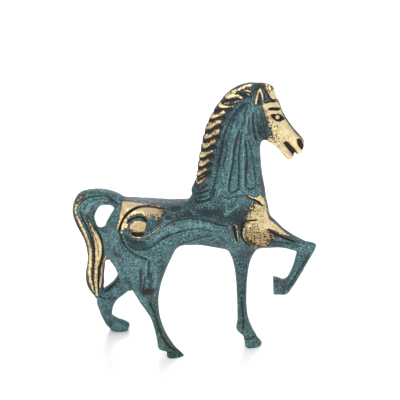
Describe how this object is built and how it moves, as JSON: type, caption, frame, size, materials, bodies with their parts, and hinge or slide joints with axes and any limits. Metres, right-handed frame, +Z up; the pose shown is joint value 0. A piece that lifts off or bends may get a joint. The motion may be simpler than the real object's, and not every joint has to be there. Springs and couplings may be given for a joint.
{
  "type": "bronze horse statuette",
  "caption": "Small solid cast horse in an old relief style, trotting on three hooves with one forefoot lifted, patinated blue-green with polished high places.",
  "frame": {"origin": "on the ground, in the middle of the box around the whole horse", "axes": "+Z up, +X towards the horse's nose, -Y towards the horse's right side"},
  "size_m": [0.1221, 0.0338, 0.1439],
  "materials": {
    "patinated_bronze": "cast, blue-green patina, high places polished bright"
  },
  "bodies": {
    "root": {"horse": "patinated_bronze"}
  },
  "joints": []
}
